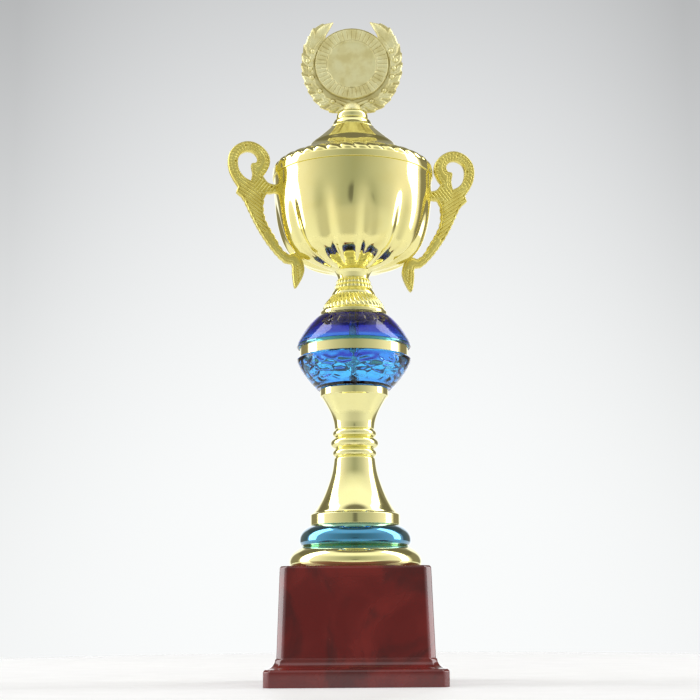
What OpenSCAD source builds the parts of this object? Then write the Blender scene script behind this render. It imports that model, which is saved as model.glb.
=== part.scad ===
/* [Plinth] */
// Width of the square foot
foot_w = 84; // [80:1:90]
// Height of the straight band of the foot
foot_h = 8; // [6:0.5:10]
// Height of the concave moulding above the foot band
cove_h = 4.7; // [3:0.1:6]
// Width of the block where it meets the moulding
block_w = 72.6; // [70:0.2:76]
// Width of the block at its top
block_top_w = 69.8; // [68:0.2:72]
// Height of the whole plinth
plinth_h = 54.4; // [48:0.2:60]
// Rounding of the block's upright edges
block_edge_r = 3.6; // [2:0.2:5]
// Wall of the moulded plinth
plinth_wall = 3; // [2:0.5:4]

/* [Pedestal] */
// Widest radius of the gold foot ring
foot_ring_r = 32; // [30:0.5:34]
// Height of the gold foot ring
foot_ring_h = 10.5; // [10:0.5:12]
// Widest radius of the blue ring
blue_ring_r = 27.1; // [25:0.1:29]
// Height of the blue ring
blue_ring_h = 9.6; // [9.4:0.2:12]
// Height of the column
column_h = 67; // [66:0.5:70]
// Radius of the column's foot flange
column_foot_r = 21.7; // [21:0.1:23]

/* [Crystal ball] */
// Widest radius of the two crystal shells
crystal_r = 28.2; // [27:0.1:30]
// Height of the lower shell
crystal_low_h = 15.9; // [15.5:0.1:17]
// Height of the gold band between the shells
band_h = 6.2; // [5:0.2:7]
// Radius of the gold band
band_r = 26.8; // [26:0.1:27]
// Height of the upper shell
crystal_up_h = 14.8; // [14.2:0.2:16]
// Wall of the crystal shells
crystal_wall = 2.2; // [1.6:0.2:3]

/* [Cup] */
// Turn of the cup on the rod, against the plinth
cup_turn = 10; // [0:1:15]
// Height of the neck under the bowl
neck_h = 22.6; // [22.2:0.1:24]
// Radius of the bowl at its rim
bowl_r = 40; // [38:0.5:42]
// Height of the bowl
bowl_h = 48; // [46:0.5:50]
// Sheet thickness of the bowl and of the lid
sheet = 1.4; // [1:0.1:2]
// Number of petals round the bowl
petals = 12; // [8:1:16]
// Thickness of each flat cast handle
handle_t = 4.6; // [4:0.2:6]

/* [Lid] */
// Clearance between the bowl's rim and the lid's flange
lid_gap = 0.1; // [0.1:0.1:0.5]
// Clearance round the locating lip inside the bowl
lip_gap = 0.5; // [0.3:0.1:1]
// Depth of the locating lip
lip_h = 3; // [2:0.5:5]
// Height of the lid's shell
lid_h = 27; // [26:0.5:28]
// Height of the knob on the lid
knob_h = 9; // [8.6:0.2:9.6]
// Thickness of the wreath figure
wreath_t = 3.6; // [3:0.2:5]
// Radius of the raised ray ring
ray_ring_r = 19; // [18:0.5:20]
// Radius of the round recess for a 25 mm emblem
emblem_r = 12.6; // [12.5:0.05:12.8]
// Depth of the emblem recess
emblem_depth = 1; // [0.6:0.1:1.5]

/* [Fasteners] */
// Diameter of the threaded tie rod
rod_d = 5; // [4:1:6]
// Radial clearance of the holes the rod passes through
rod_gap = 0.25; // [0.1:0.05:0.4]
// Width of the nuts across their flats
nut_w = 8; // [7:0.5:10]
// Height of the nuts
nut_h = 4; // [3:0.5:5]
// Diameter of the handle screws' shanks
screw_d = 2.2; // [2:0.1:3]

/* [Hidden] */
$fn = 96;

blue_ring_z = plinth_h + foot_ring_h;
column_z = blue_ring_z + blue_ring_h;
crystal_low_z = column_z + column_h;
band_z = crystal_low_z + crystal_low_h;
crystal_up_z = band_z + band_h;
neck_z = crystal_up_z + crystal_up_h;
bowl_z = neck_z + neck_h;
rim_z = bowl_z + bowl_h;
lid_z = rim_z + lid_gap;
knob_z = lid_z + lid_h;
wreath_z = knob_z + knob_h;
ray_ring_z = wreath_z + 26.7;
hole_r = rod_d/2 + rod_gap;
plinth_top_t = 4;
pad_t = 2;
knob_foot_r = 11.4;
washer_t = 1.2;
screw_reach = 4;
corner_steps = 6;
cove_steps = 6;
upper_screw_z = bowl_z + 41.4;
lower_screw_slope = 40;
lower_screw_foot = [29.7, bowl_z + 7.9];

// A point on the smooth curve that runs through p1 and p2
function blend_point(p0, p1, p2, p3, t) =
    0.5*(2*p1 + (p2 - p0)*t + (2*p0 - 5*p1 + 4*p2 - p3)*t*t + (3*p1 - p0 - 3*p2 + p3)*t*t*t);

// A smooth curve through all the points of p, with n steps between each two
function curve(p, n = 4) = let (last = len(p) - 1)
    [for (i = [0:last - 1]) for (s = [0:n - 1])
        blend_point(p[max(i - 1, 0)], p[i], p[i + 1], p[min(i + 2, last)], s/n), p[last]];

// Points along an arc of radius r round c
function arc(c, r, from, to, n = 8) =
    [for (i = [0:n]) let (a = from + (to - from)*i/n) c + r*[cos(a), sin(a)]];

// The direction to the right of the outline p at its point i
function side(p, i) = let (d = p[min(i + 1, len(p) - 1)] - p[max(i - 1, 0)]) [d.y, -d.x]/norm(d);

// The outline p moved by t to its left, for the inner wall of a shell
function inset(p, t) = [for (i = [0:len(p) - 1]) p[i] - t*side(p, i)];

function reversed(p) = [for (i = [len(p) - 1:-1:0]) p[i]];

// A closed outline that stays t thick along the open outline p
function shell_outline(p, t) = concat(p, reversed(inset(p, t)));

// A solid turned round the upright axis, standing at height z
module turned(outline, z = 0) translate([0, 0, z]) rotate_extrude() polygon(outline);

// A round hole for the tie rod
module rod_hole(z, h) translate([0, 0, z - 1]) cylinder(r = hole_r, h = h + 2);

// The corner points of a rounded square of half width h and corner radius r at height z
function square_ring(h, r, z) = [for (q = [0:3]) for (s = [0:corner_steps])
    let (a = 90*(q + s/corner_steps))
    [(h - r)*(cos(90*q) - sin(90*q)) + r*cos(a), (h - r)*(sin(90*q) + cos(90*q)) + r*sin(a), z]];

// A solid through rounded squares, each given as [half width, corner radius, height]
module square_loft(sizes) {
    n = 4*(corner_steps + 1);
    m = len(sizes);
    points = [for (s = sizes) for (p = square_ring(s[0], s[1], s[2])) p];
    walls = [for (k = [0:m - 2]) for (i = [0:n - 1])
        let (j = (i + 1) % n)
        each [[k*n + i, (k + 1)*n + i, (k + 1)*n + j], [k*n + i, (k + 1)*n + j, k*n + j]]];
    polyhedron(points, concat(walls, [[for (i = [0:n - 1]) i]],
        [[for (i = [n - 1:-1:0]) (m - 1)*n + i]]));
}

module plinth() {
    foot = foot_w/2;
    block = block_w/2;
    top = block_top_w/2;
    block_z = foot_h + cove_h;
    cove_w = foot - 0.7 - block - 0.5;
    inner = block_top_w/2 - plinth_wall;
    color("darkred") difference() {
        square_loft(concat(
            [[foot, 3, 0], [foot - 0.3, 3, foot_h - 0.7], [foot - 0.7, 3, foot_h]],
            [for (i = [1:cove_steps]) let (a = 90*i/cove_steps)
                [block + 0.5 + cove_w*(1 - sin(a)), 3, foot_h + (cove_h - 0.3)*(1 - cos(a))]],
            [[block, block_edge_r, block_z], [top + 0.05, block_edge_r, plinth_h - 0.8],
                [top - 0.7, block_edge_r - 0.6, plinth_h]]));
        square_loft([[inner, 2, pad_t - 0.01], [inner - 0.6, 2, plinth_h - plinth_top_t]]);
        translate([0, 0, -1]) square_loft([[foot - 3, 3, 0], [foot - 3, 3, pad_t + 1]]);
        rod_hole(plinth_h - plinth_top_t, plinth_top_t);
    }
}

module plinth_weight() {
    weight_w = 60;
    color("dimgray") translate([-weight_w/2, -weight_w/2, pad_t]) cube([weight_w, weight_w, 8]);
}

module base_pad() {
    half = foot_w/2 - 3;
    color("darkgreen") square_loft([[half, 3, 0], [half, 3, pad_t]]);
}

// A round washer with its lower face at height z
module washer(r, hole, t, z) translate([0, 0, z]) difference() {
    cylinder(r = r, h = t);
    translate([0, 0, -1]) cylinder(r = hole, h = t + 2);
}

// A hexagon nut with its lower face at height z, on the tie rod
module nut(z) translate([0, 0, z]) difference() {
    cylinder(d = nut_w/cos(30), h = nut_h, $fn = 6);
    translate([0, 0, -1]) cylinder(d = rod_d, h = nut_h + 2);
}

module base_washer() color("silver") washer(8, hole_r, washer_t, plinth_h - plinth_top_t - washer_t);

module base_nut() color("silver") nut(plinth_h - plinth_top_t - washer_t - nut_h);

module tie_rod() {
    low = plinth_h - plinth_top_t - washer_t - nut_h - 4;
    high = bowl_z + sheet + washer_t + nut_h + 1;
    color("silver") translate([0, 0, low]) cylinder(d = rod_d, h = high - low);
}

module foot_ring_gold() {
    r = foot_ring_r;
    color("gold") turned(concat(
        [[hole_r, foot_ring_h], [hole_r, 0], [r - 1.4, 0]],
        curve([[r - 0.9, 0.4], [r - 0.2, 1.6], [r, 3.2], [r - 0.6, 5.2], [r - 1.9, 7], [r - 3.9, 8.6],
            [r - 5.9, 9.8]], 3),
        [[r - 6.5, foot_ring_h]]), plinth_h);
}

module foot_ring_blue() {
    r = blue_ring_r;
    color("teal") turned(concat(
        [[hole_r, blue_ring_h], [hole_r, 0], [r - 1.1, 0]],
        curve([[r - 0.7, 0.4], [r - 0.1, 1.6], [r, 2.8], [r - 0.3, 4.6], [r - 1.2, 6.4], [r - 2.7, 8],
            [r - 4.4, 9.1]], 3),
        [[r - 5.3, blue_ring_h]]), blue_ring_z);
}

module column() {
    foot = column_foot_r;
    top = column_h;
    outer = concat(
        [[foot - 0.4, 0], [foot, 0.4], [foot, 5.2], [foot - 0.6, 5.8], [20.2, 6]],
        curve([[19.9, 6.6], [17.8, 9.6], [15.1, 14.5], [12.7, 20.5], [10.9, 26.5], [10, 32.6]], 3),
        arc([8.8, 35.3], 1.9, -75, 75), arc([9.3, 40.1], 2.4, -75, 75),
        arc([8.8, 44.9], 1.9, -75, 75),
        curve([[9.7, 47.3], [10.2, 51], [11.6, 55.2], [13.9, 59.6], [16, 63]], 3),
        [[16.8, 63.4], [16.8, top - 0.3], [16.5, top]]);
    inner = concat([[0, 0], [foot - 2.6, 0], [foot - 2.6, 3.6]],
        curve([[16.5, 6.6], [12.2, 13], [9, 21], [7.4, 30], [6.6, 40], [7.6, 50], [12.5, 61]], 2),
        [[13, top - 2.4], [0, top - 2.4]]);
    color("khaki") difference() {
        turned(concat([[0, 0]], outer, [[0, top]]), column_z);
        turned(inner, column_z - 0.01);
        rod_hole(column_z + top - 3, 3);
    }
}

module crystal_lower() {
    r = crystal_r;
    h = crystal_low_h;
    rim = band_r + 0.3;
    outer = curve([[18.2, 0], [20.3, 2.2], [23.2, 5.6], [25.9, 9.4], [27.6, 12.6], [r, h - 1.1]], 3);
    color("royalblue", 0.6) difference() {
        turned(concat([[0, 0]], outer, [[rim, h], [0, h]]), crystal_low_z);
        turned(concat([[0, crystal_wall], [17, crystal_wall]],
            curve([[19.6, 4.4], [22.2, 8], [24.2, 11.6], [24.8, h + 0.1]], 3), [[0, h + 0.1]]),
            crystal_low_z);
        rod_hole(crystal_low_z, crystal_wall);
    }
}

module ball_band() color("gold") washer(band_r, band_r - 2, band_h, band_z);

module crystal_upper() {
    r = crystal_r;
    h = crystal_up_h;
    rim = band_r + 0.3;
    outer = curve([[r, -1], [27.7, 1.2], [25.6, 5.2], [22.6, 9.6], [19.4, 13], [16.9, h]], 3);
    color("royalblue", 0.6) difference() {
        turned(concat([[0, 0], [rim, 0], [rim, -1.2], [r - 0.4, -1.6]], outer, [[0, h]]), crystal_up_z);
        turned(concat([[0, -0.1], [24.8, -0.1]],
            curve([[24.6, 2], [22.6, 5.8], [19.8, 9.4], [16.8, h - crystal_wall]], 3),
            [[0, h - crystal_wall]]), crystal_up_z);
        rod_hole(crystal_up_z + h - crystal_wall, crystal_wall);
    }
}

module neck() {
    h = neck_h;
    color("khaki") turned(concat(
        [[hole_r, h], [hole_r, 0], [16.3, 0], [16.6, 0.3], [16.6, 1.6], [16.1, 2.4], [15.2, 2.9]],
        curve([[15.1, 3.3], [14.6, 5], [13.3, 7.1], [11.8, 9], [11, 10.2]], 3),
        curve([[11, 10.6], [10.7, 11.6], [9.9, 13]], 3),
        curve([[9.5, 13.4], [9, 15.4], [8.4, 17.2], [8, 18.6]], 3),
        curve([[7.7, 18.9], [7.9, 19.8], [8.5, 21.2], [9.5, h]], 3)), neck_z);
}

// The outside of the bowl, from the rod hole out along the bottom and up to the rim bead
bowl_outline = concat(
    [[hole_r, 0]], curve([[9.5, 0], [17, 1.5], [24.5, 4.3], [30.9, 8.6], [35, 14.8], [37.7, 23.2],
        [39.1, 32], [39.7, 40], [bowl_r - 0.1, bowl_h - 1.6]], 3), [[bowl_r, bowl_h]]);

// The narrow creases between the petals of the bowl
module bowl_creases() {
    depth = 0.8;
    blade = curve([[14, 0.8], [24.5, 4.3], [30.9, 8.6], [35, 14.8], [37.7, 23.2], [39.1, 32],
        [39.7, 38]], 2);
    blade_outline = concat(inset(blade, depth), reversed(inset(blade, -4)));
    for (k = [0:petals - 1])
        rotate([90, 0, k*360/petals]) linear_extrude(height = 1.2, center = true)
            polygon(blade_outline);
}

// The holes for the handle screws, on the side of +X
module handle_screw_holes() {
    translate([bowl_r - 4, 0, upper_screw_z]) rotate([0, 90, 0]) cylinder(d = screw_d, h = 8);
    translate([lower_screw_foot.x, 0, lower_screw_foot.y]) rotate([0, 180 - lower_screw_slope, 0])
        translate([0, 0, -3]) cylinder(d = screw_d, h = 6);
}

module bowl() color("gold") rotate([0, 0, cup_turn]) difference() {
    turned(shell_outline(bowl_outline, sheet), bowl_z);
    translate([0, 0, bowl_z]) bowl_creases();
    for (s = [0, 180]) rotate([0, 0, s]) handle_screw_holes();
}

module bowl_washer() color("silver") washer(8, hole_r, washer_t, bowl_z + sheet);

module bowl_nut() color("silver") nut(bowl_z + sheet + washer_t);

// The flat outline of the handle on the side of +X, with heights from the bottom of the bowl
module handle_outline() {
    // from the upper arm over the lobe, the curl and the scroll to the notch above the spur
    scroll_edge = concat(curve([[38, 43.6], [41.6, 43.9], [43.7, 44.9], [45.9, 47.9]], 3),
        curve([[44.2, 50.2], [42.4, 54.4], [42.9, 58.7], [45.7, 62.6], [50, 65.2], [54.6, 65.6],
            [59.2, 63.6], [62.5, 59.7], [63.5, 55.4], [62.9, 50.4], [61, 46], [58.3, 41.9]], 3));
    // from the spur down the outside to the lower arm
    outer_edge = curve([[59.2, 39], [55.8, 35.8], [53.2, 30.6], [50.6, 25], [46.8, 18.2], [42.6, 12],
        [38, 6.6], [34.6, 3.8], [31.4, 3.2]], 3);
    // the leaf that hangs from the lower arm
    leaf_edge = curve([[30.9, 1.5], [30.9, -2.4], [29.6, -9.1], [26.8, -5.6], [25, -0.6],
        [25.4, 3.4], [27, 7]], 4);
    // from the lower arm up the inside to the upper arm
    inner_edge = curve([[29, 8.4], [33.2, 8], [36.6, 11], [39.4, 15.8], [42.3, 20.6], [44.7, 25.6],
        [45.6, 31], [45, 37], [43.2, 39], [38, 39.6]], 3);
    // the hole in the scroll, with the hook of the curl
    loop_hole = curve([[52, 45.2], [51.2, 49], [51.8, 53.8], [49.4, 54.8], [48.8, 57.4], [50.8, 60],
        [54, 60.6], [57.2, 58.9], [58.5, 55.4], [57.8, 50.6], [55.2, 47], [52, 45.2]], 3);
    difference() {
        polygon(concat(scroll_edge, outer_edge, leaf_edge, inner_edge));
        polygon(loop_hole);
    }
}

// The handle on the side of +X, cut to the bowl it sits on
module handle() color("goldenrod") translate([0, 0, bowl_z]) difference() {
    rotate([90, 0, 0]) linear_extrude(height = handle_t, center = true) handle_outline();
    turned(concat(bowl_outline, [[0, bowl_h], [0, 0]]));
    translate([0, 0, -bowl_z]) handle_screw_holes();
}

module handle_right() rotate([0, 0, cup_turn]) handle();

module handle_left() rotate([0, 0, cup_turn + 180]) handle();

// A screw along +Z, with the underside of its head at z = 0 and its head below
module small_screw(length) {
    head_h = 1.4;
    translate([0, 0, -head_h]) cylinder(d = 2*screw_d, h = head_h);
    cylinder(d = screw_d, h = length);
}

// A washer along +Z that ends at z = 0
module small_washer() translate([0, 0, -0.6]) difference() {
    cylinder(d = 3*screw_d, h = 0.6);
    translate([0, 0, -1]) cylinder(d = screw_d, h = 3);
}

// Puts its children at the two screws of the handle on the side of +X, pointing outwards
module at_handle_screws(inward) {
    wall_x = bowl_r - 0.3 - sheet;
    translate([wall_x - inward, 0, upper_screw_z]) rotate([0, 90, 0]) children();
    translate([lower_screw_foot.x, 0, lower_screw_foot.y]) rotate([0, 180 - lower_screw_slope, 0])
        translate([0, 0, -sheet - inward - 0.25]) children();
}

module handle_screws() color("silver") at_handle_screws(0.8) small_screw(5.2);

module handle_washers() color("silver") at_handle_screws(0.2) small_washer();

module handle_screws_right() rotate([0, 0, cup_turn]) handle_screws();

module handle_screws_left() rotate([0, 0, cup_turn + 180]) handle_screws();

module handle_washers_right() rotate([0, 0, cup_turn]) handle_washers();

module handle_washers_left() rotate([0, 0, cup_turn + 180]) handle_washers();

module lid() {
    r = bowl_r + 0.6;
    screw_hole = 2.1;
    outline = concat([[r, 0]], curve([[r, 3.2], [r - 0.5, 4.8], [r - 1.6, 6.4], [37, 7.9], [34, 9.3],
        [30, 10.8], [26.5, 12.5], [23.6, 15.2], [21.6, 17.8], [19.4, 19.8], [17.1, 21.8], [14.2, 24.4],
        [knob_foot_r, lid_h]], 2), [[screw_hole, lid_h]]);
    lip_r = bowl_r - sheet - lip_gap;
    color("gold") union() {
        turned(shell_outline(outline, sheet), lid_z);
        turned([[lip_r - 1.2, -lip_h], [lip_r, -lip_h], [lip_r, 0], [r - 0.5, 0], [r - 0.5, 1.2],
            [lip_r - 1.2, 1.2]], lid_z);
    }
}

module finial_base() color("khaki") turned(concat(
    [[2.1, knob_h], [2.1, 0], [knob_foot_r, 0]],
    curve([[knob_foot_r, 0.3], [10.8, 0.9], [10.2, 1.9], [9.8, 3], [9.2, 4], [8.2, 4.8]], 3),
    curve([[7.9, 5], [8.1, 5.8], [8, 7.2], [7.4, 8.3], [6.4, knob_h]], 3)), knob_z);

// A pointed leaf from the origin along +X
module leaf(length, width) {
    r = (length*length/4 + width*width/4)/width;
    half = asin(length/2/r);
    polygon(concat(arc([length/2, width/2 - r], r, 90 + half, 90 - half, 6),
        arc([length/2, r - width/2], r, -90 + half, -90 - half, 6)));
}

// The laurel branch on the side of +X, round a centre just below that of the ray ring
module branch() {
    drop = 2.5;
    plate_r = ray_ring_r + 4.6;
    stem_r = ray_ring_r + 2.4;
    translate([0, -drop]) {
        polygon(concat(arc([0, 0], plate_r, -100, 50, 16), arc([0, 0], stem_r - 6, 50, -100, 12)));
        for (k = [0:8]) let (a = -86 + 13*k) {
            rotate([0, 0, a]) translate([stem_r, 0]) rotate([0, 0, 72]) leaf(10, 4.6);
            rotate([0, 0, a + 6]) translate([stem_r, 0]) rotate([0, 0, 84]) leaf(10, 4.6);
        }
    }
    // the two leaves that end the branch, one steep and one turned inwards
    translate([23.6, 6]) rotate([0, 0, 105]) leaf(14, 6);
    translate([21.6, 6.4]) rotate([0, 0, 125]) leaf(21, 8.4);
}

module wreath() {
    boss_h = 5.4;
    leaf_t = wreath_t - 0.8;
    color("khaki") translate([0, 0, ray_ring_z]) difference() {
        union() {
            rotate([90, 0, 0]) cylinder(r = ray_ring_r, h = wreath_t, center = true);
            rotate([90, 0, 0]) linear_extrude(height = leaf_t, center = true) {
                branch();
                mirror([1, 0]) branch();
            }
            turned(concat([[0, 0], [4.9, 0], [4.9, 1]],
                curve([[4.8, 1.6], [4.1, 3.6], [2.6, 4.9], [0, boss_h]], 3)), wreath_z - ray_ring_z);
        }
        rotate([90, 0, 0]) translate([0, 0, wreath_t/2 - emblem_depth])
            cylinder(r = emblem_r, h = emblem_depth + 1);
        translate([0, 0, wreath_z - ray_ring_z - 10]) cylinder(r = 8.6, h = 10);
        translate([0, 0, wreath_z - ray_ring_z - 1]) cylinder(r = 2, h = screw_reach + 1.4);
    }
}

module lid_screw() {
    head_z = knob_z - sheet - 0.8;
    color("silver") {
        translate([0, 0, head_z - 2.4]) cylinder(d = 7, h = 2.4);
        translate([0, 0, head_z]) cylinder(d = 4, h = wreath_z + screw_reach - head_z);
    }
}

module lid_washer() color("silver") washer(5, 2.1, 0.8, knob_z - sheet - 0.8);

plinth();
plinth_weight();
base_pad();
base_washer();
base_nut();
tie_rod();
foot_ring_gold();
foot_ring_blue();
column();
crystal_lower();
ball_band();
crystal_upper();
neck();
bowl();
bowl_washer();
bowl_nut();
handle_left();
handle_right();
handle_screws_left();
handle_screws_right();
handle_washers_left();
handle_washers_right();
lid();
finial_base();
wreath();
lid_screw();
lid_washer();
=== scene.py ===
"""A lidded cup trophy in plated plastic and gilt metal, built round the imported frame.

Lengths below are in millimetres unless a name says otherwise. Outlines are lists of
(radius, height) counted from the foot of their own piece, and every piece stands where
its node stands in the frame.
"""
import math

import bmesh
import bpy
import numpy as np
from mathutils import Matrix, Vector, geometry, noise

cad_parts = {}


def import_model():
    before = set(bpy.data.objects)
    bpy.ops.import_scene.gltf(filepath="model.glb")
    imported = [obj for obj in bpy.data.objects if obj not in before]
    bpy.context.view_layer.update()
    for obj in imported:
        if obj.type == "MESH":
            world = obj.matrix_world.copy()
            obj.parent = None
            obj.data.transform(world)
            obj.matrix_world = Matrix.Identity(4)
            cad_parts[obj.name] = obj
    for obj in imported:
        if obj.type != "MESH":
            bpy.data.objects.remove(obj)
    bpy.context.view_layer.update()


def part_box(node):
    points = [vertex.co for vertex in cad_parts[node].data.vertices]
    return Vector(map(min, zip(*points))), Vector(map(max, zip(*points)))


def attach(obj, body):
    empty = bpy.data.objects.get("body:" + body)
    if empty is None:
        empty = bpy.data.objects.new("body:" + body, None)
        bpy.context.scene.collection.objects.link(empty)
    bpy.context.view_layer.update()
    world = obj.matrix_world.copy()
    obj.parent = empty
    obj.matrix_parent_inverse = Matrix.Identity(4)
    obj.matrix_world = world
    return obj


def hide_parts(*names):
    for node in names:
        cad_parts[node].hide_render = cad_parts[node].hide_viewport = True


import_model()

MM = 0.001
STEPS = 192
FINE_STEPS = 480

PETALS = 12
LID_LOBES = 36
ROPE_LOBES = 38
PEARLS = 26
RAYS = 44
ROD_D = 5.0
ROD_PITCH = 0.8
HOLE_R = 2.75
LID_SCREW_D = 4.0
LID_HOLE_R = 2.1
SHEET = 1.4


# ---- places from the frame

def bottom(node):
    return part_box(node)[0].z / MM


def top(node):
    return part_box(node)[1].z / MM


def tall(node):
    return top(node) - bottom(node)


def wide(node):
    """The largest radius of a turned node, or half the width of a square one."""
    low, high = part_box(node)
    return (high.x - low.x) / 2 / MM


def turn_of(node):
    """The angle round the upright axis at which a node lies."""
    low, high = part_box(node)
    middle = (low + high) / 2
    return math.atan2(middle.y, middle.x)


CUP_TURN = turn_of("handle_right")


# ---- outlines

def arc(centre, radius, start, end, steps=14):
    """Points along an arc. Angles are in degrees."""
    angles = np.radians(np.linspace(start, end, steps + 1))
    return [(centre[0] + radius * math.cos(a), centre[1] + radius * math.sin(a)) for a in angles]


def curve(points, steps=8):
    """A smooth curve through all the points, as in the CAD source."""
    p = np.array(points, float)
    last = len(p) - 1
    out = []
    for i in range(last):
        a, b, c, d = p[max(i - 1, 0)], p[i], p[i + 1], p[min(i + 2, last)]
        for t in np.linspace(0, 1, steps, endpoint=False):
            bend = 2 * a - 5 * b + 4 * c - d
            twist = 3 * b - a - 3 * c + d
            out.append(tuple(0.5 * (2 * b + (c - a) * t + bend * t * t + twist * t ** 3)))
    return out + [tuple(p[last])]


def softened(outline, size=0.25, sharp=22):
    """The closed outline with its sharp corners rounded. A point held beside each keeps flats flat."""
    p = np.array(outline, float)
    p = p[np.linalg.norm(p - np.roll(p, 1, axis=0), axis=1) > 1e-6]
    out = []
    for i, here in enumerate(p):
        back, on = p[i - 1] - here, p[(i + 1) % len(p)] - here
        back_length, on_length = np.linalg.norm(back), np.linalg.norm(on)
        cosine = np.clip(back @ on / back_length / on_length, -1, 1)
        if 180 - math.degrees(math.acos(cosine)) < sharp:
            out.append(here)
            continue
        cut = min(size, 0.4 * back_length, 0.4 * on_length)
        start, end = here + back / back_length * cut, here + on / on_length * cut
        if back_length > 4 * cut:
            out.append(here + back / back_length * cut * 1.8)
        for t in np.linspace(0, 1, 5):
            out.append((1 - t) ** 2 * start + 2 * t * (1 - t) * here + t * t * end)
        if on_length > 4 * cut:
            out.append(here + on / on_length * cut * 1.8)
    return np.array(out)


def right_of(p):
    """The unit vectors that point to the right of an outline at each of its points."""
    d = np.gradient(p, axis=0)
    d /= np.linalg.norm(d, axis=1)[:, None]
    return np.stack([d[:, 1], -d[:, 0]], axis=1)


def run_along(p):
    """How far along an outline each of its points lies."""
    return np.concatenate([[0], np.cumsum(np.linalg.norm(np.diff(p, axis=0), axis=1))])


def inset(outline, t):
    """The open outline moved by t to its left, for the inner wall of a shell."""
    p = np.array(outline, float)
    return [tuple(q) for q in p - t * right_of(p)]


def smooth(x, low, high):
    """A smooth rise from 0 at low to 1 at high."""
    t = np.clip((x - low) / (high - low), 0, 1)
    return t * t * (3 - 2 * t)


# ---- solids

def grid_faces(rows, columns, closed):
    """Quads over a grid whose columns wrap round, and whose rows wrap too if it is closed."""
    faces = []
    for i in range(rows if closed else rows - 1):
        a = i * columns
        b = (i + 1) % rows * columns
        faces += [(a + j, b + j, b + (j + 1) % columns, a + (j + 1) % columns) for j in range(columns)]
    return faces


def turned(outline, z=0.0, steps=STEPS, shape=None):
    """An outline turned round the upright axis. shape(r, h, angle) may press a pattern into it."""
    p = np.array(outline, float)
    angle = np.linspace(0, 2 * math.pi, steps, endpoint=False)[None, :]
    r = np.repeat(p[:, 0:1], steps, axis=1)
    h = np.repeat(p[:, 1:2], steps, axis=1)
    if shape:
        r, h = shape(r, h, angle)
    points = np.stack([r * np.cos(angle), r * np.sin(angle), h + z], axis=2).reshape(-1, 3)
    return points, grid_faces(len(p), steps, closed=p[0, 0] > 0)


def soft_chamfer(steps=16):
    """A quarter turn from (1, 0) to (0, 1) whose middle is nearly flat, like a worn chamfer."""
    angle = np.radians(np.linspace(0, 90, steps))
    flatness, spread = 14, 7
    length = 1 + flatness * np.exp(-((np.degrees(angle) - 45) / spread) ** 2)
    moves = np.stack([-np.sin(angle), np.cos(angle)], axis=1) * length[:, None]
    run = np.vstack([[0, 0], np.cumsum((moves[1:] + moves[:-1]) / 2, axis=0)])
    return np.array([1, 0]) + run / run[-1, 1]


def square_loft(rows, z=0.0):
    """Squares with chamfered edges (half width, height, edge size) joined into one closed solid."""
    corner = soft_chamfer()
    hold_shares = (0.96, 0.5, 0.0, -0.5, -0.96)
    points = []
    for half, height, size in rows:
        flat = half - size
        for quarter in range(4):
            a = math.radians(90 * quarter)
            ahead = np.array([math.cos(a), math.sin(a)])
            side = np.array([-math.sin(a), math.cos(a)])
            edge = [ahead * (flat + size * u) + side * (flat + size * v) for u, v in corner]
            face = [side * half + ahead * flat * share for share in hold_shares]
            points += [(q[0], q[1], height + z) for q in edge + face]
    columns = 4 * (len(corner) + len(hold_shares))
    return np.array(points), grid_faces(len(rows), columns, closed=True)


def placed(solid, matrix):
    """The solid moved by a matrix."""
    points, faces = solid
    m = np.array(matrix)
    return points @ m[:3, :3].T + m[:3, 3], faces


def joined(*solids):
    """Several solids as one."""
    points, faces, count = [], [], 0
    for p, f in solids:
        points.append(p)
        faces += [tuple(i + count for i in face) for face in f]
        count += len(p)
    return np.vstack(points), faces


def piece(name, solid, material, body, nodes, weighted=False, hollow=None):
    """Makes one visible piece, which stands for the CAD nodes and rides on their body."""
    points, faces = solid
    mesh = bpy.data.meshes.new(name)
    mesh.from_pydata((points * MM).tolist(), [], faces)
    # The hollow attribute carries the painted shade for the grooves of the cast gold.
    if hollow is not None:
        mesh.attributes.new("hollow", "FLOAT", "POINT").data.foreach_set("value", hollow)
    work = bmesh.new()
    work.from_mesh(mesh)
    bmesh.ops.remove_doubles(work, verts=work.verts, dist=1e-7)
    bmesh.ops.recalc_face_normals(work, faces=work.faces)
    work.to_mesh(mesh)
    work.free()
    mesh.shade_smooth()
    mesh.materials.append(material)
    made = bpy.data.objects.new(name, mesh)
    bpy.context.scene.collection.objects.link(made)
    if weighted:
        made.modifiers.new("even shading", "WEIGHTED_NORMAL").keep_sharp = True
    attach(made, body)
    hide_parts(*nodes)
    return made


def spun(name, node, outline, material, body="trophy", rounding=0.25,
         foot_h=0.0, steps=STEPS, shape=None):
    """Makes the piece of a turned node. foot_h is how far the outline's zero is above the node's foot."""
    solid = turned(softened(outline, rounding), bottom(node) + foot_h, steps, shape)
    piece(name, solid, material, body, [node])


# ---- flat castings in relief

def inside(points, outline):
    """Which of the points lie inside a closed outline."""
    x, y = points[:, 0:1], points[:, 1:2]
    a = np.array(outline, float)
    b = np.roll(a, -1, axis=0)
    rise = np.where(a[:, 1] == b[:, 1], 1e-12, b[:, 1] - a[:, 1])
    crossing = (a[:, 1] > y) != (b[:, 1] > y)
    at = a[:, 0] + (y - a[:, 1]) * (b[:, 0] - a[:, 0]) / rise
    return (crossing & (x < at)).sum(axis=1) % 2 == 1


def gap_to(points, starts, ends):
    """How far each point lies from the nearest of the straight stretches."""
    along = ends - starts
    square = np.maximum((along ** 2).sum(axis=1), 1e-12)
    nearest = np.empty(len(points))
    batch = 1500
    for i in range(0, len(points), batch):
        p = points[i:i + batch, None, :]
        t = np.clip(((p - starts) * along).sum(axis=2) / square, 0, 1)
        off = p - starts - t[..., None] * along
        nearest[i:i + batch] = np.sqrt((off ** 2).sum(axis=2).min(axis=1))
    return nearest


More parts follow.
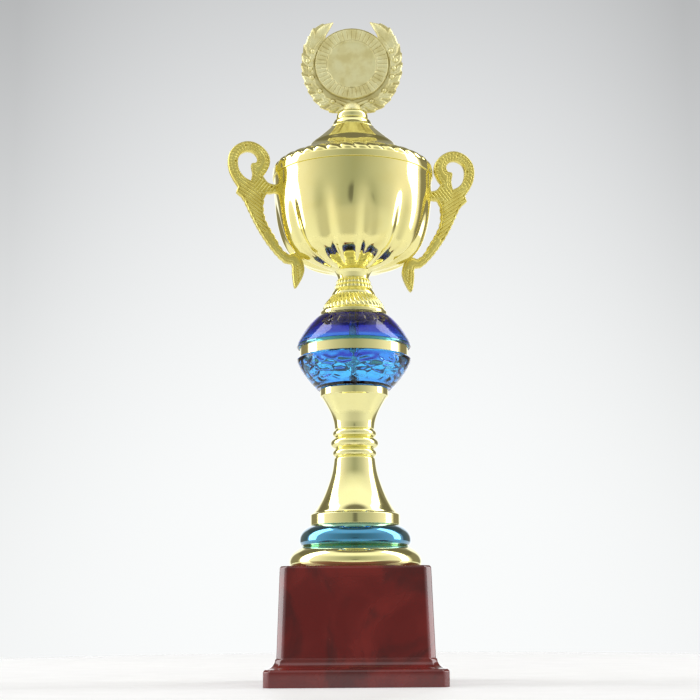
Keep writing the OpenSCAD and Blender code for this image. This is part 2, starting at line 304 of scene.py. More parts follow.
def stretches(outlines):
    """The two ends of every straight stretch of the closed outlines."""
    starts = np.vstack([np.array(o, float) for o in outlines])
    ends = np.vstack([np.roll(np.array(o, float), -1, axis=0) for o in outlines])
    return starts, ends


def lattice(outlines, step):
    """An even scatter of points over the outlines, clear of their edges."""
    corners = np.vstack([np.array(o, float) for o in outlines])
    low, high = corners.min(axis=0), corners.max(axis=0)
    rows = []
    for k, y in enumerate(np.arange(low[1], high[1], step * 0.866)):
        x = np.arange(low[0] + step / 2 * (k % 2), high[0], step)
        rows.append(np.stack([x, np.full(len(x), y)], axis=1))
    points = np.vstack(rows)
    points = points[np.any([inside(points, o) for o in outlines], axis=0)]
    return points[gap_to(points, *stretches(outlines)) > 0.4 * step]


def casting(outlines, holes, folds, step, front, back):
    """A flat casting over the union of the outlines, less the holes, with mesh edges along the folds.

    front and back give the half thickness from the points and their gap to the edge. The solid comes
    back with the number of points in each of its two faces.
    """
    loops = outlines + holes + folds
    rest = lattice(outlines, step)
    rest = rest[gap_to(rest, *stretches(loops)) > 0.4 * step]
    points, edges, faces = [], [], []
    for k, loop in enumerate(loops):
        ids = list(range(len(points), len(points) + len(loop)))
        points += [Vector(q) for q in loop]
        if k < len(outlines):
            faces.append(ids)
        else:
            edges += list(zip(ids, ids[1:] + ids[:1]))
    points += [Vector(q) for q in rest]
    flat, _, triangles, *_ = geometry.delaunay_2d_cdt(points, edges, faces, 1, 1e-4, False)
    flat = np.array([tuple(q) for q in flat])
    triangles = np.array(triangles)
    middle = flat[triangles].mean(axis=1)
    kept = np.any([inside(middle, o) for o in outlines], axis=0)
    for hole in holes:
        kept &= ~inside(middle, hole)
    triangles = triangles[kept]
    directed = {(t[i], t[(i + 1) % 3]) for t in triangles.tolist() for i in range(3)}
    border = [(a, b) for a, b in directed if (b, a) not in directed]
    used, places = np.unique(triangles, return_inverse=True)
    number = {old: new for new, old in enumerate(used.tolist())}
    flat, triangles = flat[used], places.reshape(-1, 3)
    border = np.array([(number[a], number[b]) for a, b in border])
    edge = gap_to(flat, flat[border[:, 0]], flat[border[:, 1]])
    near, far = front(flat, edge), back(flat, edge)
    n = len(flat)
    solid = np.vstack([np.stack([flat[:, 0], -near, flat[:, 1]], axis=1),
                       np.stack([flat[:, 0], far, flat[:, 1]], axis=1)])
    faces = triangles.tolist() + (triangles[:, ::-1] + n).tolist()
    faces += [(b, a, a + n, b + n) for a, b in border.tolist()]
    return solid, faces, n


def domed(edge, half, radius):
    """Half the thickness of a plate whose edges are rounded."""
    d = np.clip(edge / radius, 0, 1)
    return half - radius + radius * np.sqrt(1 - (1 - d) ** 2)


def ripple(run, pitch):
    """Waves between 0 and 1."""
    return 0.5 + 0.5 * np.cos(2 * math.pi * run / pitch)


def groove(distance, width):
    """1 in the middle of a groove and 0 beside it."""
    return np.exp(-(distance / width) ** 2)


# ---- materials

class Nodes:
    """A short way to write a node tree."""

    def __init__(self, tree):
        self.tree = tree
        tree.nodes.clear()

    def add(self, kind, inputs=None, **settings):
        node = self.tree.nodes.new(kind)
        for key, value in settings.items():
            setattr(node, key, value)
        for key, value in (inputs or {}).items():
            if isinstance(value, bpy.types.NodeSocket):
                self.tree.links.new(value, node.inputs[key])
            else:
                node.inputs[key].default_value = value
        return node

    def math(self, operation, a, b=0.0):
        return self.add("ShaderNodeMath", {0: a, 1: b}, operation=operation).outputs[0]

    def place(self):
        return self.add("ShaderNodeTexCoord").outputs["Object"]

    def length(self, vector):
        return self.add("ShaderNodeVectorMath", {0: vector}, operation="LENGTH").outputs["Value"]

    def distance(self, vector, point):
        return self.add("ShaderNodeVectorMath", {0: vector, 1: point}, operation="DISTANCE").outputs["Value"]

    def noise(self, scale, detail=2.0, distortion=0.0):
        inputs = {"Vector": self.place(), "Scale": scale, "Detail": detail, "Distortion": distortion}
        return self.add("ShaderNodeTexNoise", inputs).outputs["Fac"]

    def between(self, value, low, high, start, end):
        inputs = {"Value": value, "From Min": low, "From Max": high, "To Min": start, "To Max": end}
        return self.add("ShaderNodeMapRange", inputs, interpolation_type="SMOOTHSTEP").outputs[0]

    def mix(self, share, a, b, blend="MIX"):
        node = self.add("ShaderNodeMix", {0: share, 6: a, 7: b}, data_type="RGBA", blend_type=blend)
        return node.outputs[2]

    def bump(self, height, strength, distance, below=None):
        inputs = {"Height": height, "Strength": strength, "Distance": distance}
        if below:
            inputs["Normal"] = below
        return self.add("ShaderNodeBump", inputs).outputs[0]


def rgb(r, g, b):
    return (r, g, b, 1.0)


def surface(name, inputs, dye=None, density=0.0):
    """A material with one Principled shader. inputs(nodes) gives the shader's sockets.

    A dye makes the inside absorb light, at the given density per metre.
    """
    material = bpy.data.materials.new(name)
    material.use_nodes = True
    nodes = Nodes(material.node_tree)
    shader = nodes.add("ShaderNodeBsdfPrincipled", inputs(nodes))
    made = {"Surface": shader.outputs[0]}
    if dye:
        depth = nodes.add("ShaderNodeVolumeAbsorption", {"Color": dye, "Density": density})
        made["Volume"] = depth.outputs[0]
    nodes.add("ShaderNodeOutputMaterial", made)
    return material


def plated(name, bright, deep, roughness, waviness, lacquer=0.0):
    """Mirror plating over plastic or sheet: slow waves, faint smears and tiny pits, and lacquer if any."""
    def inputs(n):
        smear = n.noise(70, 3, distortion=0.6)
        grain = n.noise(2600, 2)
        slow = n.bump(n.noise(90, 1), waviness, 0.0006)
        return {
            "Base Color": n.mix(n.between(smear, 0.35, 0.75, 0.0, 0.45), bright, deep),
            "Metallic": 1.0,
            "Roughness": n.between(smear, 0.3, 0.75, roughness * 0.75, roughness * 1.6),
            "Coat Weight": lacquer,
            "Coat IOR": 1.8,
            "Coat Roughness": 0.02,
            "Normal": n.bump(grain, 0.02, 0.0001, slow),
        }
    return surface(name, inputs)


def cast_gold(name, bright, deep, roughness, speckle):
    """Satin plated casting: fine grain, and painted shade that darkens its grooves towards the deep colour.
    """
    def inputs(n):
        hollow = n.add("ShaderNodeAttribute", attribute_name="hollow").outputs["Fac"]
        grain = n.noise(3200, 3)
        patch = n.noise(160, 3)
        tone = n.mix(n.between(patch, 0.3, 0.7, 0.0, 0.35), bright, deep)
        return {
            # Painted shade: where the hollow attribute is high, the colour leans to the deep one, as shade
            # in the grooves.
            "Base Color": n.mix(n.between(hollow, 0.25, 1.0, 0.0, 0.7), tone, deep),
            "Metallic": 1.0,
            "Roughness": n.between(patch, 0.3, 0.7, roughness * 0.8, roughness * 1.2),
            "Normal": n.bump(grain, speckle, 0.0002),
        }
    return surface(name, inputs)


def plinth_plastic():
    """Glossy maroon plastic, with the faint clouds and streaks of marbled moulding."""
    def inputs(n):
        cloud = n.noise(30, 3, distortion=1.6)
        streak = n.noise(17, 5, distortion=3.0)
        deep, bright = rgb(0.135, 0.006, 0.005), rgb(0.19, 0.010, 0.007)
        tone = n.mix(n.between(cloud, 0.40, 0.70, 0.0, 1.0), deep, bright)
        dark = n.between(streak, 0.36, 0.52, 0.7, 0.0)
        return {
            "Base Color": n.mix(dark, tone, rgb(0.06, 0.005, 0.005)),
            "Roughness": n.between(cloud, 0.3, 0.7, 0.2, 0.3),
            "Specular IOR Level": 0.3,
            "Coat Weight": 1.0,
            "Coat Roughness": 0.025,
            "Normal": n.bump(n.noise(60, 2), 0.03, 0.0006),
        }
    return surface("maroon plastic", inputs)


def crystal(name, foot_h, low, high, dye, density):
    """Clear acrylic whose tint goes from one blue at foot_h to another above it."""
    fade_h = 11

    def inputs(n):
        height = n.add("ShaderNodeSeparateXYZ", {0: n.place()}).outputs[2]
        share = n.between(height, foot_h * MM, (foot_h + fade_h) * MM, 0.0, 1.0)
        return {
            "Base Color": n.mix(share, low, high),
            "Roughness": n.between(n.noise(900, 2), 0.3, 0.7, 0.0, 0.015),
            "IOR": 1.49,
            "Transmission Weight": 1.0,
            "Normal": n.bump(n.noise(120, 2), 0.03, 0.0006),
        }
    return surface(name, inputs, dye, density)


def zinc_steel():
    """Zinc plating on steel, with its spangle."""
    def inputs(n):
        spangle = n.noise(700, 4)
        dull, bright = rgb(0.52, 0.53, 0.54), rgb(0.70, 0.70, 0.68)
        return {
            "Base Color": n.mix(n.between(spangle, 0.35, 0.65, 0, 1), dull, bright),
            "Metallic": 1.0,
            "Roughness": n.between(spangle, 0.3, 0.7, 0.22, 0.38),
            "Normal": n.bump(spangle, 0.12, 0.0001),
        }
    return surface("zinc steel", inputs)


def cast_iron():
    """Rough cast iron with a little rust."""
    def inputs(n):
        sand = n.noise(1100, 5)
        rust = n.noise(90, 4)
        bare, rusted = rgb(0.045, 0.045, 0.048), rgb(0.12, 0.06, 0.035)
        return {
            "Base Color": n.mix(n.between(rust, 0.5, 0.75, 0, 1), bare, rusted),
            "Metallic": 0.6,
            "Roughness": n.between(sand, 0.3, 0.7, 0.55, 0.8),
            "Normal": n.bump(sand, 0.6, 0.0004),
        }
    return surface("cast iron", inputs)


def felt():
    """Dark green felt, matted and uneven."""
    def inputs(n):
        fibre = n.noise(1900, 6, distortion=1.8)
        patch = n.noise(60, 3)
        deep, bright = rgb(0.010, 0.055, 0.032), rgb(0.018, 0.085, 0.050)
        tone = n.mix(n.between(patch, 0.3, 0.7, 0, 1), deep, bright)
        return {
            "Base Color": n.mix(n.between(fibre, 0.4, 0.7, 0, 0.6), tone, rgb(0.05, 0.15, 0.10)),
            "Roughness": n.between(fibre, 0.2, 0.8, 0.85, 1.0),
            "Sheen Weight": 0.5,
            "Sheen Roughness": 0.6,
            "Normal": n.bump(fibre, 0.8, 0.0005),
        }
    return surface("green felt", inputs)


CHAMPAGNE = plated("plated champagne", rgb(0.93, 0.88, 0.42), rgb(0.90, 0.82, 0.34), 0.07, 0.05)
GILT = plated("gilt sheet", rgb(0.94, 0.87, 0.38), rgb(0.92, 0.81, 0.30), 0.06, 0.05)
TEAL = plated("plated teal", rgb(0.010, 0.25, 0.44), rgb(0.008, 0.18, 0.36), 0.08, 0.05, lacquer=1.0)
# The deep colour of each cast gold is both its darker patches and the painted shade in its grooves.
HANDLE_GOLD = cast_gold("satin handle gold", rgb(0.86, 0.76, 0.22), rgb(0.50, 0.38, 0.05), 0.40, 0.14)
WREATH_GOLD = cast_gold("satin wreath gold", rgb(1.0, 0.95, 0.56), rgb(0.46, 0.37, 0.10), 0.60, 0.08)
MAROON = plinth_plastic()
LOWER_CRYSTAL = crystal("azure crystal", bottom("crystal_lower"), rgb(0.32, 0.78, 1.0),
                        rgb(0.34, 0.95, 1.0), rgb(0.10, 0.20, 1.0), 120.0)
UPPER_CRYSTAL = crystal("violet crystal", bottom("crystal_upper"), rgb(0.30, 0.80, 1.0),
                        rgb(0.14, 0.10, 0.52), rgb(0.10, 0.10, 0.80), 200.0)
ZINC = zinc_steel()
IRON = cast_iron()
FELT = felt()


# ---- plinth

def plinth():
    """A hollow moulded base: a foot band, a cove and a drafted block, open underneath."""
    foot, height = wide("plinth"), tall("plinth")
    foot_h, cove_h = 8.0, 4.7
    block, block_top, step = 36.3, 34.9, 0.5
    edge, foot_edge = 3.8, 3.2
    wall, plate, pad_h = 3.0, 4.0, tall("base_pad")
    cavity = block_top - wall
    cove_w, cove_rise = foot - 0.7 - block - step, cove_h - 0.3
    rows = [(HOLE_R, height, HOLE_R), (block_top - 0.7, height, edge - 0.6), (block_top, height - 0.8, edge)]
    rows += [(block, foot_h + cove_h, edge), (block + step, foot_h + cove_rise, edge)]
    for a in np.radians(np.linspace(80, 0, 9)):
        half = block + step + cove_w * (1 - math.sin(a))
        rows.append((half, foot_h + cove_rise * (1 - math.cos(a)), foot_edge))
    rows += [(foot - 0.3, foot_h - 0.6, foot_edge), (foot, foot_h - 1.0, foot_edge), (foot, 0.0, foot_edge)]
    rows += [(foot - wall, 0.0, 3.0), (foot - wall, pad_h, 3.0), (cavity, pad_h, 2.0)]
    rows += [(cavity - 0.6, height - plate, 2.0), (HOLE_R, height - plate, HOLE_R)]
    solid = square_loft(softened(rows, 0.35), bottom("plinth"))
    piece("plinth_moulding", solid, MAROON, "trophy", ["plinth"], weighted=True)


def slab(node, edge, rounding):
    """A plain square slab with soft edges."""
    half, height = wide(node), tall(node)
    rows = [(0.5, 0.0, 0.5), (half, 0.0, edge), (half, height, edge), (0.5, height, 0.5)]
    return square_loft(softened(rows, rounding), bottom(node))


def base_parts():
    """The felt pad and the iron weight."""
    pad, weight = slab("base_pad", 3.0, 0.5), slab("plinth_weight", 1.5, 0.9)
    piece("felt_pad", pad, FELT, "trophy", ["base_pad"], weighted=True)
    piece("ballast_slab", weight, IRON, "trophy", ["plinth_weight"], weighted=True)


# ---- stem

RIM_PAST_BAND = 0.3
CRYSTAL_FLOOR = 2.2


def foot_ring_gold():
    """The lowest ring of the stem, with a rounded shoulder."""
    r, h = wide("foot_ring_gold"), tall("foot_ring_gold")
    shoulder = curve([(r - 0.9, 0.4), (r - 0.2, 1.6), (r, 3.2), (r - 0.6, 5.2), (r - 1.9, 7),
                      (r - 3.9, 8.6), (r - 5.9, 9.8)])
    outline = [(HOLE_R, h), (HOLE_R, 0), (r - 1.4, 0)] + shoulder + [(r - 6.5, h)]
    spun("gold_foot_ring", "foot_ring_gold", outline, CHAMPAGNE)


def foot_ring_blue():
    """The teal ring on the gold one."""
    r, h = wide("foot_ring_blue"), tall("foot_ring_blue")
    shoulder = curve([(r - 0.7, 0.4), (r - 0.1, 1.6), (r, 2.8), (r - 0.3, 4.6), (r - 1.2, 6.4),
                      (r - 2.7, 8), (r - 4.4, 9.1)])
    outline = [(HOLE_R, h), (HOLE_R, 0), (r - 1.1, 0)] + shoulder + [(r - 5.3, h)]
    spun("teal_ring", "foot_ring_blue", outline, TEAL)


def column():
    """A hollow baluster with a foot flange, three beads and a top flange."""
    foot, h = wide("column"), tall("column")
    outer = [(foot - 0.4, 0), (foot, 0.4), (foot, 5.2), (foot - 0.6, 5.8), (20.2, 6)]
    outer += curve([(19.9, 6.6), (17.8, 9.6), (15.1, 14.5), (12.7, 20.5), (10.9, 26.5), (10, 32.6)])
    for centre, bead_r in (((8.8, 35.3), 1.9), ((9.3, 40.1), 2.4), ((8.8, 44.9), 1.9)):
        outer += arc(centre, bead_r, -75, 75)
    outer += curve([(9.7, 47.3), (10.2, 51), (11.6, 55.2), (13.9, 59.6), (16, 63)])
    outer += [(16.8, 63.4), (16.8, h - 0.3), (16.5, h)]
    inner = [(HOLE_R, h), (HOLE_R, h - 2.4), (13, h - 2.4)]
    inner += curve([(12.5, 61), (7.6, 50), (6.6, 40), (7.4, 30), (9, 21), (12.2, 13), (16.5, 6.6)], 5)
    inner += [(foot - 2.6, 3.6), (foot - 2.6, 0)]
    spun("waisted_column", "column", outer + inner, CHAMPAGNE)


def chipped(r, h, angle, outer_r, low, high):
    """Irregular facets between sharp cracks, in the inner wall of a crystal shell."""
    dent = np.zeros_like(r)
    around, upward, fade = 2.8, 0.33, 1.5
    for i in range(r.shape[0]):
        share = float(smooth(h[i, 0], low, low + fade) * (1 - smooth(h[i, 0], high - fade, high)))
        in_skin = r[i, 0] > outer_r(h[i, 0]) - 0.8
        if in_skin or share <= 0:
            continue
        for j in range(r.shape[1]):
            a = angle[0, j]
            spot = Vector((math.cos(a) * around, math.sin(a) * around, h[i, 0] * upward))
            near = noise.voronoi(spot)[0]
            dent[i, j] = share * (1.7 * min(near[1] - near[0], 0.42) - 0.5)
    return r - dent, h


def crystal_lower():
    """The lower bowl of the ball, smooth outside and chipped inside."""
    r, h = wide("crystal_lower"), tall("crystal_lower")
    rim, wall = wide("ball_band") + RIM_PAST_BAND, CRYSTAL_FLOOR
    skin = curve([(18.2, 0), (20.3, 2.2), (23.2, 5.6), (25.9, 9.4), (27.6, 12.6), (r, h - 1.1)])
    core = curve([(24.8, h), (24.2, 11.6), (22.2, 8), (19.6, 4.4), (17, wall)])
    outline = [(HOLE_R, 0)] + skin + [(rim, h)] + core + [(HOLE_R, wall)]
    heights, radii = [q[1] for q in skin], [q[0] for q in skin]

    def shape(r, h, angle):
        return chipped(r, h, angle, lambda z: np.interp(z, heights, radii), 3.0, 14.5)

    spun("lower_crystal_shell", "crystal_lower", outline, LOWER_CRYSTAL,
         rounding=0.35, steps=320, shape=shape)


def crystal_upper():
    """The upper bowl of the ball, whose lip hangs below the band's top."""
    lip = 1.6
    r, h = wide("crystal_upper"), tall("crystal_upper") - lip
    rim, wall = wide("ball_band") + RIM_PAST_BAND, CRYSTAL_FLOOR
    skin = curve([(r, -1), (27.7, 1.2), (25.6, 5.2), (22.6, 9.6), (19.4, 13), (16.9, h)])
    core = curve([(16.8, h - wall), (19.8, 9.4), (22.6, 5.8), (24.6, 2), (24.8, 0)])
    outline = [(rim, 0), (rim, -1.2), (r - 0.4, -lip)] + skin + [(HOLE_R, h), (HOLE_R, h - wall)] + core
    spun("upper_crystal_shell", "crystal_upper", outline, UPPER_CRYSTAL,
         rounding=0.35, foot_h=lip, steps=256)


def ball_band():
    """The plain gold band between the two bowls of the ball."""
    r, h, wall = wide("ball_band"), tall("ball_band"), 2
    outline = [(r, 0), (r, h), (r - wall, h), (r - wall, 0)]
    spun("gold_ball_band", "ball_band", outline, CHAMPAGNE, rounding=0.2)


def neck_shape(r, h, angle):
    """The slanted rope moulding and the two rows of pearls."""
    rope_foot, slant, pearl_foot, pearl_h = 3.0, 0.022, 13.4, 2.6
    rope = smooth(h, rope_foot, 3.8) * (1 - smooth(h, 9.4, 10.3)) * smooth(r, 9.0, 10.0)
    lobe = np.abs(np.sin(ROPE_LOBES / 2 * (angle + slant * (h - rope_foot))))
    pearl_band = smooth(h, pearl_foot, 13.9) * (1 - smooth(h, 18.0, 18.6)) * smooth(r, 7.0, 7.6)
    pearl = np.abs(np.sin(PEARLS / 2 * angle) * np.sin((h - pearl_foot) / pearl_h * math.pi))
    return r + rope * (0.95 * lobe ** 0.7 - 0.65) + pearl_band * (0.7 * pearl ** 0.5 - 0.45), h


def neck():
    """The solid neck: a flange, the rope moulding, a plain cone and the pearls under the bowl."""
    h = tall("neck")
    outline = [(HOLE_R, h), (HOLE_R, 0), (16.3, 0), (16.6, 0.3), (16.6, 1.6), (16.1, 2.4), (15.2, 2.9)]
    outline += curve([(15.1, 3.3), (14.6, 5), (13.3, 7.1), (11.8, 9), (11, 10.2)])
    outline += curve([(11, 10.6), (10.7, 11.6), (9.9, 13)])
    outline += curve([(9.5, 13.4), (9, 15.4), (8.4, 17.2), (8, 18.6)], 10)
    outline += curve([(7.7, 18.9), (7.9, 19.8), (8.5, 21.2), (9.5, h)])
    spun("roped_neck", "neck", outline, CHAMPAGNE, rounding=0.12, steps=FINE_STEPS, shape=neck_shape)


# ---- bowl and lid

BOWL_CURVE = [(9.5, 0), (17, 1.5), (24.5, 4.3), (30.9, 8.6), (35, 14.8), (37.7, 23.2), (39.1, 32),
              (39.7, 40)]
PETAL_DEPTH = 1.9
BOWL_CENTRE_H = 48.0


def petal_shape(r, h, angle):
    """Presses the creases between the petals into both faces of the bowl's sheet."""
    slope = np.degrees(np.arctan2(r, BOWL_CENTRE_H - h))
    share = smooth(slope, 10, 32) * (1 - smooth(slope, 50, 80))
    wave = 0.5 + 0.5 * np.cos(PETALS * (angle - CUP_TURN))
    push = PETAL_DEPTH * share * wave ** 2.6 / np.hypot(r, BOWL_CENTRE_H - h)
    return r - r * push, h + (BOWL_CENTRE_H - h) * push


def bowl():
    """The cup, pressed from one sheet."""
    r, h = wide("bowl"), tall("bowl")
    outer = [(HOLE_R, 0)] + curve(BOWL_CURVE + [(r - 0.1, h - 1.6)], 12) + [(r, h)]
    outline = outer + inset(outer, SHEET)[::-1]
    spun("petalled_bowl", "bowl", outline, GILT, rounding=0.3, steps=FINE_STEPS,
         shape=petal_shape)


def lid_shape(r, h, angle):
    """Presses a row of short slanted lobes round the lid's shoulder, out from a circle inside it."""
    centre_r, centre_h, slant = 20, -4, 0.012
    out, up = r - centre_r, h - centre_h
    share = smooth(h, 3.4, 5.0) * (1 - smooth(h, 9.0, 11.5)) * smooth(r, 28, 31)
    lobe = np.abs(np.cos(LID_LOBES / 2 * (angle + slant * h)))
    push = share * (0.95 * lobe ** 0.6 - 0.65) / np.hypot(out, up)
    return r + out * push, h + up * push


def lid():
    """The lid, with a lip that drops inside the bowl's rim."""
    r = wide("lid")
    lip_depth = 3.0
    h = tall("lid") - lip_depth
    outer = [(r, 0)] + curve([(r, 3.2), (r - 0.5, 4.8), (r - 1.6, 6.4), (37, 7.9), (34, 9.3), (30, 10.8),
                              (26.5, 12.5), (23.6, 15.2), (21.6, 17.8), (19.4, 19.8), (17.1, 21.8),
                              (14.2, 24.4), (wide("finial_base"), h)], 8) + [(LID_HOLE_R, h)]
    lip_r, lip_t = 38.1, 1.2
    lip = [(lip_r - lip_t, lip_t), (lip_r - lip_t, -lip_depth), (lip_r, -lip_depth), (lip_r, 0)]
    outline = outer + inset(outer, SHEET)[::-1][:-1] + lip
    spun("gadrooned_lid", "lid", outline, GILT, "lid", foot_h=lip_depth,
         steps=LID_LOBES * 14, shape=lid_shape)


def finial_base():
    """The stepped knob under the wreath."""
    r, h = wide("finial_base"), tall("finial_base")
    outline = [(LID_HOLE_R, h), (LID_HOLE_R, 0), (r, 0)]
    outline += curve([(r, 0.3), (10.8, 0.9), (10.2, 1.9), (9.8, 3), (9.2, 4), (8.2, 4.8)])
    outline += curve([(7.9, 5), (8.1, 5.8), (8, 7.2), (7.4, 8.3), (6.4, h)])
    spun("tiered_knob", "finial_base", outline, CHAMPAGNE, body="lid", rounding=0.2)


# ---- handles

CAST_STEP = 0.30
SCROLL_MIDDLE = np.array((53.4, 54.6))


def scalloped(points, pitch, depth):
    """An open outline with a row of shallow scallops along it."""
    p = np.array(points, float)
    run = run_along(p)
    fade = smooth(run, 0, pitch) * (1 - smooth(run, run[-1] - pitch, run[-1]))
    bulge = depth * (np.abs(np.sin(math.pi * run / pitch)) - 0.5) * fade
    return [tuple(q) for q in p + right_of(p) * bulge[:, None]]


def handle_loops():
    """The handle's outline, from the upper arm round the scroll and down to the leaf, and its hole."""
    scroll = curve([(39, 43.6), (41.6, 43.9), (43.7, 44.9), (45.9, 47.9)], 6)
    scroll += curve([(44.2, 50.2), (42.4, 54.4), (42.9, 58.7), (45.7, 62.6), (50, 65.2), (54.6, 65.6),
                     (59.2, 63.6), (62.5, 59.7), (63.5, 55.4), (62.9, 50.4), (61, 46), (58.3, 41.9)], 6)
    outside = scalloped(curve([(59.2, 39), (55.8, 35.8), (53.2, 30.6), (50.6, 25), (46.8, 18.2),
                               (42.6, 12), (38, 6.6), (34.6, 3.8), (31.4, 3.2)], 10), 3.2, -0.35)
    leaf = curve([(30.9, 1.5), (30.9, -2.4), (29.6, -9.1), (26.8, -5.6), (25, -0.6), (25.4, 3.4),
                  (27, 7.4)], 8)
    within = scalloped(curve([(29, 8.8), (33.2, 8), (36.6, 11), (39.4, 15.8), (42.3, 20.6),
                              (44.7, 25.6), (45.6, 31), (45, 37), (43.2, 39), (39, 39.6)], 10), 3.6, -0.5)
    hole = curve([(52, 45.2), (51.2, 49), (51.8, 53.8), (49.4, 54.8), (48.8, 57.4), (50.8, 60),
                  (54, 60.6), (57.2, 58.9), (58.5, 55.4), (57.8, 50.6), (55.2, 47), (52, 45.2)], 6)[:-1]
    return scroll + outside + leaf + within, hole


def handle_relief(p, edge):
    """How deep the engraving lies at each point of the handle, in millimetres."""
    x, z = p[:, 0], p[:, 1]
    from_scroll = np.linalg.norm(p - SCROLL_MIDDLE, axis=1)
    turn = np.arctan2(z - SCROLL_MIDDLE[1], x - SCROLL_MIDDLE[0])
    in_scroll = smooth(z, 44.5, 47.5) * smooth(from_scroll, 3.5, 4.5)
    in_arm = smooth(z, 38, 41) * (1 - smooth(z, 44, 47)) * (1 - smooth(x, 49, 52))
    in_body = (1 - smooth(z, 43, 46)) * smooth(z, 3.5, 6) * (1 - in_arm) * smooth(x + 0.9 * z, 60, 62)
    in_leaf = 1 - smooth(z, 1, 3.5)
    hatch = ripple(0.74 * z - 0.67 * x + 0.004 * (x - 30) ** 2, 1.45)
    bars = ripple(0.8 * x + 0.6 * z, 1.5)
    rays = 0.5 + 0.5 * np.cos(turn * 30 + 0.9 * from_scroll)
    rib = np.abs((x - 28.3) - 0.06 * (z - 2))
    veins = ripple(z - 0.9 * rib, 1.5)
    field = smooth(edge, 0.6, 1.1)
    cut = 0.34 * groove(edge - 0.95, 0.2) + 0.30 * groove(edge - 2.2, 0.22) * in_scroll
    cut += 0.30 * field * (1 - smooth(edge, 1.9, 2.2)) * rays ** 2 * in_scroll
    cut += field * 0.46 * (hatch ** 1.5 * in_body + bars ** 2 * in_arm)
    cut += field * in_leaf * (0.30 * veins ** 2 + 0.4 * groove(rib, 0.28))
    return cut


def handle_pits(p):
    """Small round pits beside the scroll's foot and the upper arm."""
    depth, width = 0.7, 0.42
    spots = ((41.4, 42.2), (46.4, 37.6), (45.2, 33.9), (46.6, 46.6), (43.4, 57.0), (54.6, 63.2),
             (59.6, 55.0))
    return sum(depth * groove(np.linalg.norm(p - np.array(spot), axis=1), width) for spot in spots)


def handles():
    """The two equal scroll handles, each with the screws and washers that hold it."""
    outline, hole = handle_loops()
    half, crown, rounding = 2.3, 0.12, 0.8
    full_painted_shade_depth = 0.6
    kept = {}

    def face(p, edge):
        kept["cut"] = handle_relief(p, edge) + handle_pits(p)
        return domed(edge, half, rounding) + crown * smooth(edge, rounding, 2.6) - crown - kept["cut"]

    points, faces, _ = casting([outline], [hole], [], CAST_STEP, face, face)
    points[:, 2] += bottom("bowl")
    # Painted shade: the deeper the engraving, the darker the gold is painted, full at this depth.
    hollow = np.clip(np.tile(kept["cut"], 2) / full_painted_shade_depth, 0, 1)
    for side, angle in (("right", CUP_TURN), ("left", CUP_TURN + math.pi)):
        solid = placed((points, faces), Matrix.Rotation(angle, 4, "Z"))
        piece(f"scroll_handle_{side}", solid, HANDLE_GOLD, "trophy",
              ["handle_" + side], hollow=hollow)
        handle_fasteners(side, angle)


# ---- wreath

WREATH_DROP = 2.5
WREATH_FOOT = 26.7
RING_R = 19.0
RECESS_R = 12.6
PLATE = 0.75
RING_FACE = 1.6
BERRY_R = 1.1
BERRIES = ((20.2, 7.0), (22.6, 1.8), (21.6, -2.6), (20.6, -7.2), (16.6, -14.6), (10.0, -20.4))


def branch_outline():
    """The right-hand branch as one outline, stepped outside where the leaf tips lie."""
    outside = curve([(9.5, 23.0), (14.6, 21.8), (19.6, 19.2), (22.7, 13.6), (24.8, 8.2), (25.6, 0.4),
                     (24.9, -6.6), (22.8, -12.6), (19.8, -18.2), (15.8, -22.6), (10.9, -25.2),
                     (6.9, -26.2)], 12)
    p = np.array(outside)
    run = run_along(p)
    pitch, depth = 5.1, 0.75
    tooth = depth * (1 - (run / pitch) % 1) * smooth(run, 3, 6) * (1 - smooth(run, run[-1] - 3, run[-1]))
    outside = p - right_of(p) * tooth[:, None]
    inside_edge = curve([(0, -24.5), (0, -16), (8, -14), (14, -9), (16, 0), (15, 8), (13.2, 16.4)], 6)
    return [tuple(q) for q in outside] + inside_edge


def mirrored(outline):
    """The outline on the other side, still going the same way round."""
    return [(-x, z) for x, z in outline][::-1]


def branch_leaves():
    """The right-hand branch's raised leaves as (length, width, foot, direction), from the foot up."""
    leaves = []
    stem_r, pairs, first, pitch = RING_R + 2.0, 9, -84, 12.5
    for k in range(pairs):
        for lead, lean, out, length, width in ((0, 52, 0.2, 7.4, 3.6), (6, 96, 0.4, 7.8, 3.2)):
            a = first + pitch * k + lead
            b = math.radians(a)
            foot = ((stem_r + out) * math.cos(b), (stem_r + out) * math.sin(b) - WREATH_DROP)
            leaves.append((length, width, foot, a + lean))
    leaves.append((13.5, 6, (23.2, 6.2), 104))
    leaves.append((19, 8.2, (20.4, 7.6), 125))
    return leaves


def leaf_height(p, length, width, foot, direction):
    """Height of one domed leaf with a midrib and side veins, below zero outside it."""
    a = math.radians(direction)
    dx, dz = p[:, 0] - foot[0], p[:, 1] - foot[1]
    u = (dx * math.cos(a) + dz * math.sin(a)) / length
    v = np.abs(-dx * math.sin(a) + dz * math.cos(a))
    half = np.maximum(width / 2 * (1 - np.clip(2 * u - 1, -1, 1) ** 2), 1e-3)
    body = np.clip(1 - (v / half) ** 2, 0, 1) ** 0.6
    rib = 0.40 * groove(v, 0.2) * (u > 0.05)
    vein = 0.08 * ripple(u * length - v, 1.3)
    within = (u > 0) & (u < 1) & (v < half)
    return np.where(within, 0.15 + (0.45 + 0.45 * u) * body - rib - vein, -1.0)


